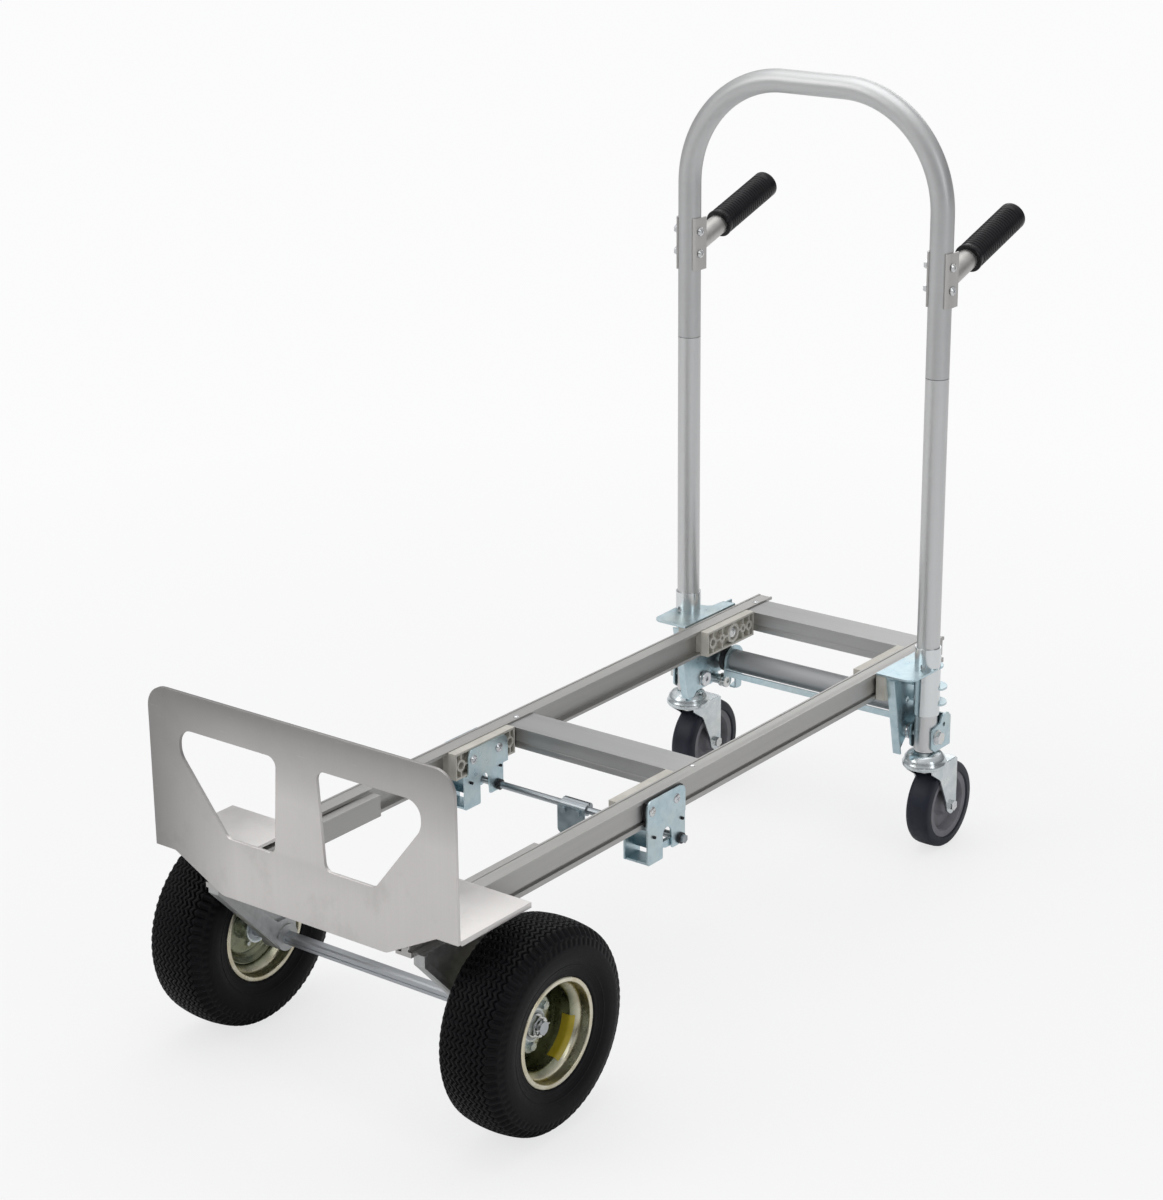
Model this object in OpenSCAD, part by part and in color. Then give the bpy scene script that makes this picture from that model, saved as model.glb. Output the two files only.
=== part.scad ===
// Convertible hand truck, drawn in its flat (four-wheel platform) position.
// X across the truck (+X is the operator's left), Y from the toe plate to the handle, Z up from the floor.
// The origin is on the floor, under the middle of the whole truck.

/* [Frame] */
// Half distance between the outer faces of the two side rails
rail_out = 157.2; // [156.8:0.1:157.8]
// Height of a side rail
rail_h = 38; // [37:0.5:39]
// Height of the top of the rails above the floor
rail_top = 277; // [276:0.5:278]
// Rear end of the rails, measured back from the wheel axle
rail_y1 = 1029; // [1025:1:1060]
// Depth of the cross members along the truck
cross_w = 53; // [50:1:53]

/* [Toe plate] */
// Width of the toe plate
toe_w = 460; // [420:1:480]
// Height of the top of the toe plate above the floor
toe_top = 479; // [460:1:500]
// Sheet thickness of the toe plate
toe_t = 4; // [3:0.5:5]
// Radius of the two top corners
toe_r = 28; // [10:1:40]

/* [Main wheels] */
// Outside diameter of the pneumatic tyre
wheel_d = 254; // [250:1:254]
// Half track: middle of the truck to middle of the tyre
wheel_x = 225.4; // [225:0.1:235]
// Width of the tyre
tyre_w = 90; // [86:1:91]

/* [Handle] */
// Half distance between the two handle legs
handle_x = 200.5; // [200:0.1:202]
// Outside diameter of the handle tube
tube_d = 31.75; // [31.4:0.05:31.75]
// Wall thickness of the handle tube
tube_t = 2; // [1.6:0.1:2.6]
// Height of the tube's centre line at the top of the loop
loop_z = 1054; // [1000:1:1100]
// Bend radius of the loop
bend_r = 152; // [120:1:160]
// Upward tilt of the grips
grip_tilt = 18; // [0:0.5:25]
// Distance from the leg to the end of the grip
grip_end = 199; // [190:1:210]

/* [Casters] */
// Diameter of the caster wheel
caster_d = 125; // [120:1:125]
// Width of the caster tread
caster_w = 36; // [28:1:36]

/* [Hidden] */
$fn = 48;

// Y is measured back from the wheel axle; centred() moves it to the middle of the truck.
// A place named ..._at is a [y, z] point of an axis along X.
plate_t = 2.5;                      // sheet of the brackets
// frame
toe_y = -129.4;                     // outer face of the toe plate
rail_y0 = -124;                     // front end of the rails
rail_w = 23;
rail_c = rail_out - rail_w/2;       // middle of a rail
rail_z0 = rail_top - rail_h;
web_in = rail_c - 2.7;              // inner face of the rail web
web_out = rail_c + 9;               // outer face of the rail web
inside_x = rail_out - rail_w - 0.1; // end of the parts that fit between the rails
mid_y = 409;                        // front faces of the cross members
rear_y = 962;
cross_top = rail_top - 2.3;
rivet_x = 141.2;
rear_rivet_dy = 8;                  // rear rivets, back from the middle of the member
mid_rivet_y = mid_y + cross_w/2;
rear_rivet_y = rear_y + cross_w/2 + rear_rivet_dy;
wheel_r = wheel_d/2;
axle_at = [0, wheel_r];
axle_r = 7.94;                      // round ends of the axle
// latch
shaft_at = [378, 204.5];            // release shaft
shaft_hole_r = 4.8;
pins_at = [[322, 225], [381, 230]];
screws_at = [[319.3, 260], [370.5, 260]];
screw_r = 2.95;
screw_hole_r = 3;
latch_y = [309, 389];               // front and rear ends of the bracket plates
latch_out = 161;                    // inner face of the outer plate
latch_in = 126;                     // inner face of the lower inner plate
latch_top = 118.5;                  // inner face of the upper inner plate
// handle and carriage
leg_y = 910;                        // handle legs
pivot_z = rail_top - 19;            // carriage pivot
pivot_at = [leg_y, pivot_z];
cross_tube_at = [957, 196];
bracket_x = 172.5;                  // inner face of the pivot bracket web
stud1_at = [leg_y, 177];
stud2_at = [leg_y + 38, 165];
stud_r = 5.98;
stud_hole_r = 6;
stud_in = 182.1;                    // inner and outer faces of the stud brackets
stud_out = 218.9;
tube_r = tube_d/2;
bore_r = tube_r - tube_t;
plug_r = bore_r - 0.03;             // parts pushed into the tube
tube_z0 = 157;                      // foot of the legs
splice_z = 685;                     // joint between the leg and the loop
splice_gap = 0.4;                   // each tube stops this far from the joint
clamp_z = [781, 854];
clamp_screw_z = [804, 835];
grip_z = 809.5;                     // grip axis at the leg
grip_r = 19.5;
grip_edge_r = 3;                    // rounded rim of the grip end
stub_r = 14.3;                      // tube inside the grip
// casters
caster_r = caster_d/2;
caster_at = [952, caster_r];
caster_bolt_r = 4.98;

grip_y1 = leg_y + (grip_end - grip_edge_r)*cos(grip_tilt)
  + (grip_r - grip_edge_r)*sin(grip_tilt) + grip_edge_r;
middle_y = (toe_y + grip_y1)/2;

// ---- helpers ----
function unit(v) = v/norm(v);
// points of one rounded corner
function fillet(corner, before, after, radius, steps) = radius <= 0 ? [corner] :
  let (
    to_before = unit(before - corner),
    to_after = unit(after - corner),
    half = acos(to_before*to_after)/2,
    reach = radius/tan(half),
    start = corner + to_before*reach,
    end = corner + to_after*reach,
    middle = corner + unit(to_before + to_after)*(radius/sin(half)),
    angle0 = atan2(start.y - middle.y, start.x - middle.x),
    angle1 = atan2(end.y - middle.y, end.x - middle.x),
    turn = ((angle1 - angle0 + 540) % 360) - 180
  )
  arc(middle, radius, angle0, angle0 + turn, steps);
// outline with rounded corners; radius is one number or a list with one for each point
function rounded(points, radius, steps = 5) = let (count = len(points)) [
  for (i = [0:count - 1])
    each fillet(points[i], points[(i + count - 1) % count], points[(i + 1) % count],
      is_list(radius) ? radius[i] : radius, steps)];
function arc(middle, radius, angle0, angle1, steps) = [
  for (i = [0:steps])
    let (angle = angle0 + (angle1 - angle0)*i/steps)
    middle + radius*[cos(angle), sin(angle)]];
// closes a half outline (x >= 0) with its mirror image in x = 0
function symmetric(half) = concat(half,
  [for (i = [len(half) - 1:-1:0]) if (half[i].x != 0) [-half[i].x, half[i].y]]);

module centred() { translate([0, -middle_y, 0]) children(); }
module side(s) { if (s > 0) children(); else mirror([1, 0, 0]) children(); }
module both() { children(); mirror([1, 0, 0]) children(); }
// slab_x takes a (y, z) outline, slab_y (x, z), slab_z (x, y)
module slab_x(x0, x1) { translate([x0, 0, 0]) rotate([90, 0, 90]) linear_extrude(x1 - x0) children(); }
module slab_y(y0, y1) { translate([0, y1, 0]) rotate([90, 0, 0]) linear_extrude(y1 - y0) children(); }
module slab_z(z0, z1) { translate([0, 0, z0]) linear_extrude(z1 - z0) children(); }
module rod_x(x0, x1, at, r) { translate([x0, at[0], at[1]]) rotate([0, 90, 0]) cylinder(h = x1 - x0, r = r); }
module hex_x(x0, x1, at, r) { rod_x(x0, x1, at, r, $fn = 6); }
// coaxial rods, each row [x0, x1, radius]
module rods_x(at, rows) { for (row = rows) rod_x(row[0], row[1], at, row[2]); }
module box(low, high) { translate(low) cube(high - low); }
// shape turned about an axis along X; the outline is (x, radius)
module turned_x(at, outline, x = 0) {
  translate([x, at[0], at[1]])
    rotate([0, 90, 0])
      rotate_extrude($fn = 96) polygon([for (point = outline) [point[1], point[0]]]);
}
// bars crossing an axis along X, cut as slots
module slots_x(x, at, angles, size) {
  for (angle = angles) translate([x, at[0], at[1]]) rotate([angle, 0, 0]) cube(size, center = true);
}
// upright cylinder on the axis of the +X handle leg
module leg_rod(z0, z1, r) { translate([handle_x, leg_y, z0]) cylinder(h = z1 - z0, r = r); }
module stud1_hole() { rod_x(170, 230, stud1_at, stud_hole_r); }

// ---- frame ----
module rail(s) side(s) color([0.66, 0.66, 0.65]) centred() difference() {
  // x from the middle of the rail, z from its underside
  slab_y(rail_y0, rail_y1) translate([rail_c, rail_z0]) polygon([
    [-11.5, 0], [11.5, 0], [11.5, 6.4], [6.8, 6.4], [6.8, 9.2], [9, 10],
    [9, rail_h - 6], [11.5, rail_h - 5], [11.5, rail_h], [9, rail_h],
    [8.4, rail_h - 1], [-8.4, rail_h - 1], [-9, rail_h], [-11.5, rail_h],
    [-11.5, rail_h - 4], [-2.7, rail_h - 4.4], [-2.7, 4.5], [-11.5, 4.2]]);
  // hollow core
  box([rail_c - 0.2, rail_y0 - 1, rail_z0 + 12], [rail_c + 6.5, rail_y1 + 1, rail_z0 + rail_h - 7]);
  rod_x(rail_c - 12, rail_c + 12, pivot_at, 5);
  for (at = screws_at) rod_x(rail_c - 12, rail_c + 12, at, screw_hole_r);
  for (y = [mid_rivet_y, rear_rivet_y]) translate([rivet_x, y, rail_top - 13]) cylinder(h = 15, r = 2.4);
}
module rail_left() rail(1);
module rail_right() rail(-1);

// channels, open outwards, along the inside of the front of the rails
module rail_reinforcements() color([0.62, 0.62, 0.61]) centred() both() slab_y(rail_y0, 142)
  translate([0, rail_z0]) polygon([
    [120, 5], [inside_x, 5], [inside_x, 7.5], [122.5, 7.5],
    [122.5, 30.5], [inside_x, 30.5], [inside_x, 33], [120, 33]]);

// hollow box with tongues that enter the rails
module cross_member(y, rivet_y) {
  wall = 2.5;
  rear = y + cross_w;
  color([0.63, 0.63, 0.63]) centred() difference() {
    union() {
      box([-inside_x, y, cross_top - 28], [inside_x, rear, cross_top]);
      both() box([134, y + 2, rail_z0 + 6], [web_in - 0.1, rear - 2, rail_top - 4.5]);
    }
    box([-131, y + wall, cross_top - 28 + wall], [131, rear - wall, cross_top - wall]);
    // shallow grooves along the front and rear faces
    for (groove = [y - 1, rear - 0.6])
      box([-134.2, groove, cross_top - 19.6], [134.2, groove + 1.6, cross_top - 18.2]);
    both() translate([rivet_x, rivet_y, rail_z0]) cylinder(h = rail_h, r = 2.4);
  }
}
module mid_cross_member() cross_member(mid_y, mid_rivet_y);
module rear_cross_member() cross_member(rear_y, rear_rivet_y);

module rail_rivets() color([0.75, 0.75, 0.76]) centred() both()
  for (y = [mid_rivet_y, rear_rivet_y]) translate([rivet_x, y, rail_top]) {
    translate([0, 0, -12]) cylinder(h = 11.1, r = 2.35);
    translate([0, 0, -1]) cylinder(h = 0.7, r = 3.8);
    translate([0, 0, -0.3]) cylinder(h = 1.1, r1 = 3.8, r2 = 2);
  }

module toe_plate() color([0.73, 0.71, 0.69]) centred() {
  half_w = toe_w/2;
  wing_y1 = -2;
  slab_y(toe_y, toe_y + toe_t) difference() {
    polygon(rounded([
      [-half_w, rail_top], [-199, rail_top], [-125.5, 239], [125.5, 239], [199, rail_top],
      [half_w, rail_top], [half_w, toe_top], [-half_w, toe_top]],
      [0, 6, 14, 14, 6, 0, toe_r, toe_r], 8));
    // a window in each half
    for (m = [0, 1]) mirror([m, 0])
      polygon(rounded([[30, 434], [182, 434], [182, 402], [112, 314], [38, 314]], [12, 20, 26, 12, 10], 8));
  }
  // two folded wings that rest on the rails, with rolled-under side edges
  both() box([121, toe_y + toe_t - 1, rail_top], [half_w, wing_y1, rail_top + 4]);
  both() box([half_w - 2.4, toe_y + toe_t + 3, rail_top - 2.5], [half_w, wing_y1, rail_top + 1]);
}

// grooved bar with round ends and a collar on each
module axle() color([0.6, 0.6, 0.62]) centred() {
  slab_x(-150, 150) translate(axle_at) polygon(symmetric([
    [5, -6.8], [6.8, -5], [6.8, -2], [5.2, -1.2], [5.2, 1.2], [6.8, 2], [6.8, 5], [5, 6.8]]));
  both() rods_x(axle_at, [[150, 244, axle_r], [178.1, 199.1, 11]]);
}
module axle_brackets() color([0.66, 0.66, 0.66]) centred() both() difference() {
  boss_r = 17;
  front = -112;
  union() {
    slab_x(152, 162) polygon(concat(
      [[front, rail_z0], [front, rail_z0 - 14]],
      arc(axle_at, boss_r, 222, 360, 12),
      [[boss_r, wheel_r + 14], [34, rail_z0 - 10], [34, rail_z0]]));
    box([136, front, rail_z0 - 6], [162, 34, rail_z0]);
    rod_x(150.1, 178, axle_at, boss_r);
    // rib along the sloping front edge
    slab_x(150.1, 166) polygon([
      [front, rail_z0], [front, rail_z0 - 14], [-14, wheel_r - 8],
      [-9, wheel_r - 4], [front + 6, rail_z0 - 8], [front + 6, rail_z0]]);
  }
  rod_x(140, 190, axle_at, axle_r);
  // hollow on the inner side
  slab_x(149, 156) polygon(rounded([[-84, rail_z0 - 12], [-14, 152], [12, 152], [22, rail_z0 - 12]], 6));
}
// washer and castle nut
module axle_nuts() color([0.72, 0.73, 0.75]) centred() both() {
  difference() {
    rod_x(229.7, 231.7, axle_at, 14);
    rod_x(229, 232, axle_at, axle_r);
  }
  difference() {
    union() {
      hex_x(231.7, 238, axle_at, 13.5);
      rod_x(238, 242, axle_at, 10.5);
    }
    rod_x(231, 243, axle_at, axle_r);
    slots_x(240.6, axle_at, [0, 60, 120], [3.4, 3, 40]);
  }
}

// ---- nylon blocks and spacers ----
// Block inside a rail, with its ribbed face towards the middle of the truck.
// Each boss is [y, outer radius, hollow radius, x of the hollow's floor].
module inner_block(y0, y1, bosses) difference() {
  union() {
    box([121, y0, rail_z0 + 1.2], [inside_x, y1, rail_top - 1]);
    box([inside_x, y0 + 1, rail_z0 + 4.6], [web_in - 0.1, y1 - 1, rail_top - 4.5]);
  }
  // recess that leaves the bosses, the rib joining them and their upright ribs
  difference() {
    box([120, y0 + 2.6, rail_z0 + 4], [128.5, y1 - 2.6, rail_top - 3.8]);
    for (boss = bosses) {
      rod_x(119, 129, [boss[0], pivot_z], boss[1]);
      box([119, boss[0] - 1.1, rail_z0 + 3.5], [129, boss[0] + 1.1, rail_top - 3.4]);
    }
    for (i = [0:len(bosses) - 2])
      box([119, bosses[i][0] + bosses[i][1] - 0.5, pivot_z - 1.2],
        [129, bosses[i + 1][0] - bosses[i + 1][1] + 0.5, pivot_z + 1.2]);
  }
  for (boss = bosses) if (boss[2] > 0) rod_x(120, boss[3], [boss[0], pivot_z], boss[2]);
}
module mid_blocks() color([0.80, 0.78, 0.71]) centred() both() difference() {
  inner_block(287, 407, [
    [298, 8, 5, 132],
    [screws_at[0][0], 8.5, 0, 0],
    [347.5, 7, 3.5, 130],
    [screws_at[1][0], 8.5, 0, 0],
    [397, 7.5, 5, 132]]);
  for (at = screws_at) rod_x(118, 150, at, screw_hole_r);
}
module rear_blocks() color([0.80, 0.78, 0.71]) centred() both() difference() {
  inner_block(846, rear_y - 0.2, [
    [859, 8.5, 5, 132],
    [882, 6.5, 3, 130],
    [leg_y, 14.2, 0, 0],
    [934.5, 6.5, 3, 130],
    [950, 7.5, 4, 132]]);
  rods_x(pivot_at, [[118, 180, 5], [118, 125.5, 10]]);
}
module mid_spacers() color([0.80, 0.78, 0.71]) centred() both() difference() {
  union() {
    box([web_out + 0.05, 312, rail_z0 + 10.4], [rail_out + 0.2, 385, rail_top - 6.5]);
    box([rail_out + 0.2, 310, rail_z0 + 2.5], [latch_out, 387, rail_top - 4]);
  }
  for (at = screws_at) rod_x(140, 165, at, screw_hole_r);
}

// ---- latch at the middle of the frame ----
// lower part of a bracket plate, with a notch open downwards
module latch_wall(top) {
  notch = [350, 220];
  notch_r = 9;
  difference() {
    polygon(rounded([
      [310, top], [310, 190], [341, 190], [341, 201], [359, 201],
      [361.5, 197], [382, 197], [388, 204], [388, top]],
      [0, 2, 2, 0, 0, 2, 3, 3, 0], 4));
    translate(notch) circle(r = notch_r);
    polygon([
      [notch.x - notch_r, notch.y], [notch.x - notch_r, 180],
      [notch.x + notch_r + 4, 180], [notch.x + notch_r, notch.y]]);
    translate(shaft_at) circle(r = 6);
    for (at = pins_at) translate(at) circle(r = 2);
  }
}
module latch_upper(bottom) difference() {
  polygon(rounded([[latch_y[0], bottom], [latch_y[1], bottom], [latch_y[1], 274], [latch_y[0], 274]],
    [0, 0, 10, 10], 6));
  for (at = screws_at) translate(at) circle(r = screw_hole_r);
}
module latch_bracket(s) side(s) color([0.62, 0.70, 0.73]) centred() {
  step_z = 236.2;                   // where the inner plate steps sideways
  slab_x(latch_out, latch_out + plate_t) {
    latch_wall(238);
    latch_upper(238);
  }
  slab_x(latch_top, latch_top + plate_t) latch_upper(step_z);
  slab_x(latch_in, latch_in + plate_t) latch_wall(step_z);
  box([latch_top, latch_y[0], step_z], [latch_in + plate_t, 388, 238.6]);
  // floor joining the inner and outer plates
  box([latch_in, 312, 190], [latch_out + plate_t, 339, 192.5]);
}
module latch_bracket_left() latch_bracket(1);
module latch_bracket_right() latch_bracket(-1);

// screws with a domed, cross-slotted head at each end
module latch_screws() color([0.75, 0.76, 0.78]) centred() both() for (at = screws_at) {
  rod_x(118.6, 163.6, at, screw_r);
  difference() {
    turned_x(at, [[163.5, 0], [163.5, 6.4], [164.3, 6.2], [165.3, 4.6], [165.9, 0]]);
    slots_x(165.8, at, [20, 110], [1.4, 1.1, 6.4]);
  }
  difference() {
    turned_x(at, [[118.5, 0], [118.5, 6.4], [117.2, 6.1], [115.9, 4.4], [115.4, 0]]);
    slots_x(115.6, at, [35, 125], [1.6, 1.1, 6.4]);
  }
}
module latch_pins() color([0.12, 0.12, 0.13]) centred() both() for (at = pins_at) difference() {
  rod_x(123, 166, at, 1.98);
  rod_x(122, 167, at, 0.9);
}
// sloping plates between the bracket walls
module latch_leaves() color([0.55, 0.62, 0.66]) centred() both() difference() {
  slab_x(latch_in + plate_t, latch_out)
    polygon([[312.6, 235.4], [314.6, 236.8], [333.6, 203.8], [331.4, 202.6]]);
  rod_x(120, 170, pins_at[0], 2);
}
module shaft_bushes() color([0.06, 0.06, 0.07]) centred() both() difference() {
  rods_x(shaft_at, [[161, 163.5, 5.98], [163.5, 166.6, 7.2], [126, 128.5, 5.98], [122, 126, 7.2]]);
  rod_x(110, 175, shaft_at, 4.83);
}
module pivot_bolts() color([0.72, 0.73, 0.75]) centred() both() {
  rod_x(122, 180, pivot_at, 4.95);
  difference() {
    turned_x(pivot_at, [[125.5, 0], [125.5, 9], [123.6, 8.6], [122, 6.4], [121.2, 0]]);
    slots_x(121.6, pivot_at, [25, 115], [2.6, 1.5, 9]);
  }
  hex_x(175.15, 181.2, pivot_at, 8.6);
}

// ---- release shaft ----
module release_shaft() color([0.66, 0.70, 0.73]) centred() {
  rod_x(-169, 169, shaft_at, 4.75);
  both() hex_x(166.9, 171, shaft_at, 5.8);
}
module release_hooks() color([0.60, 0.66, 0.70]) centred() both() slab_x(154.6, 160.2) difference() {
  union() {
    translate(shaft_at) circle(r = 8.6);
    polygon(rounded([
      [375, 197], [375, 212.6], [364, 209.2], [343, 209.2], [341.6, 203], [352, 199.6], [368, 198.6]],
      [0, 0, 6, 2, 3, 4, 6], 4));
  }
  translate(shaft_at) circle(r = shaft_hole_r);
}
module release_clamp() color([0.64, 0.65, 0.67]) centred() difference() {
  union() {
    rod_x(-20, 20, shaft_at, 7.6);
    rod_x(-20, 20, shaft_at + [3, 2], 7);
  }
  rod_x(-21, 21, shaft_at, shaft_hole_r);
  // seam of the rolled sleeve
  box([-21, shaft_at[0] + 2, 210], [21, shaft_at[0] + 4, 216]);
}
// hanging plate with two rivets, just in front of the shaft; y from the shaft
module release_paddle() color([0.58, 0.60, 0.62]) centred() translate([0, shaft_at[0], 0]) {
  rivets_x = [-12, 11];
  rivet_z = 201;
  difference() {
    slab_y(-10, -7.7)
      polygon(rounded([[-22, 168], [21, 168], [21, 207], [-22, 207]], [6, 6, 3, 3]));
    for (x = rivets_x) translate([x, -12, rivet_z]) rotate([-90, 0, 0]) cylinder(h = 6, r = 2.5);
  }
  for (x = rivets_x) {
    translate([x, -11, rivet_z]) rotate([-90, 0, 0]) cylinder(h = 3, r = 2.45);
    translate([x, -12.4, rivet_z]) rotate([-90, 0, 0]) cylinder(h = 2.4, r = 4.2);
  }
  // foot edge, turned forwards
  box([-14, -18, 168], [13, -9, 170.4]);
}

// ---- main wheels ----
module tyre(s) side(s) color([0.07, 0.07, 0.08]) centred() {
  half_w = tyre_w/2;
  // [part of the half width, radius], from the tread round the bead to the inside
  section = [
    [0, wheel_r], [0.22, wheel_r - 0.3], [0.5, wheel_r - 1.8], [0.78, 121], [0.9, 115],
    [0.985, 106], [1, 97], [0.985, 88], [0.9, 76], [0.86, 68], [0.78, 65.2],
    [0.68, 62.6], [0.60, 62.6], [0.66, 72], [0.78, 86], [0.80, 97],
    [0.74, 107], [0.6, 113], [0.3, 117], [0, 118]];
  turned_x(axle_at, symmetric([for (point = section) [point.x*half_w, point.y]]), wheel_x);
}
module tyre_left() tyre(1);
module tyre_right() tyre(-1);

hub_bolts_at = [for (angle = [30, 150, 270]) axle_at + 28*[cos(angle), sin(angle)]];
module rim(s) side(s) color([0.78, 0.74, 0.60]) centred() difference() {
  union() {
    turned_x(axle_at, symmetric([
      [14, 53], [20, 60], [26, 62.2], [34.8, 62.4], [35.4, 64.8], [36.6, 66],
      [38.6, 64.6], [38.4, 60], [27, 59.8], [21.6, 57.8], [15.4, 50.6]]), wheel_x);
    // dished disc carrying the hub
    turned_x(axle_at, [
      [-14, 50.7], [-11.6, 50.7], [-9.6, 44], [-3.5, 38],
      [-3.5, 20.1], [-6, 20.1], [-6, 37], [-12, 43]], wheel_x);
  }
  for (at = hub_bolts_at) rod_x(wheel_x - 15, wheel_x + 5, at, 3.1);
}
module rim_left() rim(1);
module rim_right() rim(-1);

bearings_x = [wheel_x - 26, wheel_x - 7];   // inner faces
bearing_w = 11;
module hub(s) side(s) color([0.70, 0.74, 0.75]) centred() difference() {
  union() {
    rod_x(wheel_x - 26, wheel_x + 4, axle_at, 20);
    // three-lobed plate
    slab_x(wheel_x - 3.5, wheel_x - 1) translate(axle_at) polygon([
      for (i = [0:71])
        let (angle = i*5, r = 29 + 7.5*cos(3*(angle - 30)))
        r*[cos(angle), sin(angle)]]);
    for (at = hub_bolts_at) {
      hex_x(wheel_x - 1, wheel_x + 3.4, at, 5.4);
      rod_x(wheel_x - 9, wheel_x, at, 3);
    }
  }
  rods_x(axle_at, [
    [wheel_x - 27, wheel_x + 5, 16.2],
    [wheel_x - 27, wheel_x - 15, 17.5],
    [wheel_x - 7, wheel_x + 5, 17.5]]);
}
module hub_left() hub(1);
module hub_right() hub(-1);

module bearings(s) side(s) color([0.55, 0.56, 0.58]) centred() for (x = bearings_x)
  turned_x(axle_at, symmetric([
    [5.5, 17.45], [5.5, 14.6], [4.7, 14.2], [4.7, 11.4], [5.5, 11], [5.5, 8]]), x + bearing_w/2);
module bearings_left() bearings(1);
module bearings_right() bearings(-1);

module valve(s) side(s) color([0.06, 0.06, 0.06]) centred()
  rods_x([-14, wheel_r + 44], [[wheel_x - 8, wheel_x + 12, 3], [wheel_x + 12, wheel_x + 22, 4]]);
module valve_left() valve(1);
module valve_right() valve(-1);

// ---- carriage ----
module pivot_bracket(s) side(s) color([0.66, 0.74, 0.76]) centred() difference() {
  union() {
    // web plate
    slab_x(bracket_x, bracket_x + plate_t) difference() {
      polygon(rounded([
        [843, 279], [848, 271], [871, 156], [885, 156], [899, 170], [899, 188],
        [927, 188], [934, 176.5], [973, 176.5], [981, 196], [981, 279]],
        [0, 6, 7, 7, 3, 3, 3, 8, 14, 10, 0], 4));
      translate(pivot_at) circle(r = 5.03);
      translate(cross_tube_at) circle(r = 5);
      translate([902, 226]) circle(r = 4);
    }
    // turned front edge
    slab_x(bracket_x, 184) polygon([[848, 271], [871, 156], [874, 156], [850.6, 271]]);
    // top flange around the sleeve
    slab_z(276.2, 279) polygon(concat(
      [[rail_out + 1.6, 843], [200, 843]],
      arc([202.5, 857], 14, -90, 0, 6),
      [[218.5, 912]],
      arc([203.5, 918], 15, 0, 60, 6),
      [[186, 936], [180, 941], [178, 966], [rail_out + 1.6, 969]]));
    // two ears behind the sleeve
    for (z = [245, 222]) slab_z(z, z + 2.8) polygon(concat(
      [[174, 911], [216, 911]],
      arc([204.5, 921.5], 18.4, -22, 120, 14),
      [[174, 944]]));
  }
  leg_rod(200, 290, 18);
}
module pivot_bracket_left() pivot_bracket(1);
module pivot_bracket_right() pivot_bracket(-1);

module sleeves() color([0.80, 0.82, 0.83]) centred() both() difference() {
  leg_rod(209, 307, 18);
  leg_rod(200, 320, tube_r + 0.07);
  // hole through the front wall
  translate([handle_x, leg_y, 282]) rotate([90, 0, 10]) cylinder(h = 30, r = 4);
}
// tube with solid, drilled ends
module cross_tube() color([0.60, 0.61, 0.62]) centred() difference() {
  rod_x(-158, 158, cross_tube_at, 16);
  both() rods_x(cross_tube_at, [[-1, 152, 13.6], [150, 160, 5]]);
}
module cross_tube_rings() color([0.06, 0.06, 0.07]) centred() both() difference() {
  rod_x(158, 166, cross_tube_at, 18.5);
  rod_x(150, 170, cross_tube_at, 5);
}
module cross_tube_bolts() color([0.72, 0.73, 0.75]) centred() both() {
  rods_x(cross_tube_at, [[148, 180, 4.98], [166, 172.5, 10]]);
  for (x = [146, 175]) hex_x(x, x + 6, cross_tube_at, 8.6);
}
module pivot_spacers() color([0.80, 0.78, 0.71]) centred() both() difference() {
  box([rail_out + 0.4, 846, rail_z0 + 1], [bracket_x, 971, rail_top - 1]);
  rod_x(150, 180, pivot_at, 5.03);
}
// angle bar on two levers around the cross tube, with a tab at the foot of each lever
module lock_bar() color([0.66, 0.73, 0.76]) centred() {
  lever_x = 150;
  box([-lever_x, 933, 178], [lever_x, 935.4, 187]);
  box([-lever_x, 933, 178], [lever_x, 944, 180.4]);
  both() {
    slab_x(lever_x, 153) difference() {
      union() {
        translate(cross_tube_at) circle(r = 22.5);
        polygon(rounded([
          [933, 176], [960, 172], [961, 150.6], [973.6, 150.6],
          [976, 176], [976, 200], [940, 206], [933, 190]],
          [2, 3, 2, 3, 6, 8, 8, 6], 4));
      }
      translate(cross_tube_at) circle(r = 16.06);
    }
    slab_x(153, 162) translate([967, 152.8]) rotate(13) square([12, 3], center = true);
  }
}

// ---- handle ----
module loop_solid(r) {
  bend_x = handle_x - bend_r;
  bend_z = loop_z - bend_r;
  both() {
    leg_rod(splice_z + splice_gap, bend_z, r);
    translate([bend_x, leg_y, bend_z]) rotate([90, 0, 0])
      rotate_extrude(angle = 90, $fn = 96) translate([bend_r, 0]) circle(r = r, $fn = 48);
  }
  rod_x(-bend_x, bend_x, [leg_y, loop_z], r);
}
module handle_loop() color([0.72, 0.73, 0.74]) centred() difference() {
  loop_solid(tube_r);
  loop_solid(bore_r);
  for (z = clamp_screw_z) both() rod_x(170, 230, [leg_y, z], screw_hole_r);
  // opens the lower ends
  both() leg_rod(splice_z - 1, splice_z + 4, bore_r);
}
module handle_tubes() color([0.72, 0.73, 0.74]) centred() both() difference() {
  leg_rod(tube_z0, splice_z - splice_gap, tube_r);
  leg_rod(tube_z0 - 1, splice_z + 1, bore_r);
  stud1_hole();
}
module splice_plugs() color([0.55, 0.56, 0.57]) centred() both() difference() {
  leg_rod(splice_z - 45, splice_z + 45, plug_r);
  leg_rod(splice_z - 46, splice_z + 46, bore_r - 2.5);
}
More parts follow.
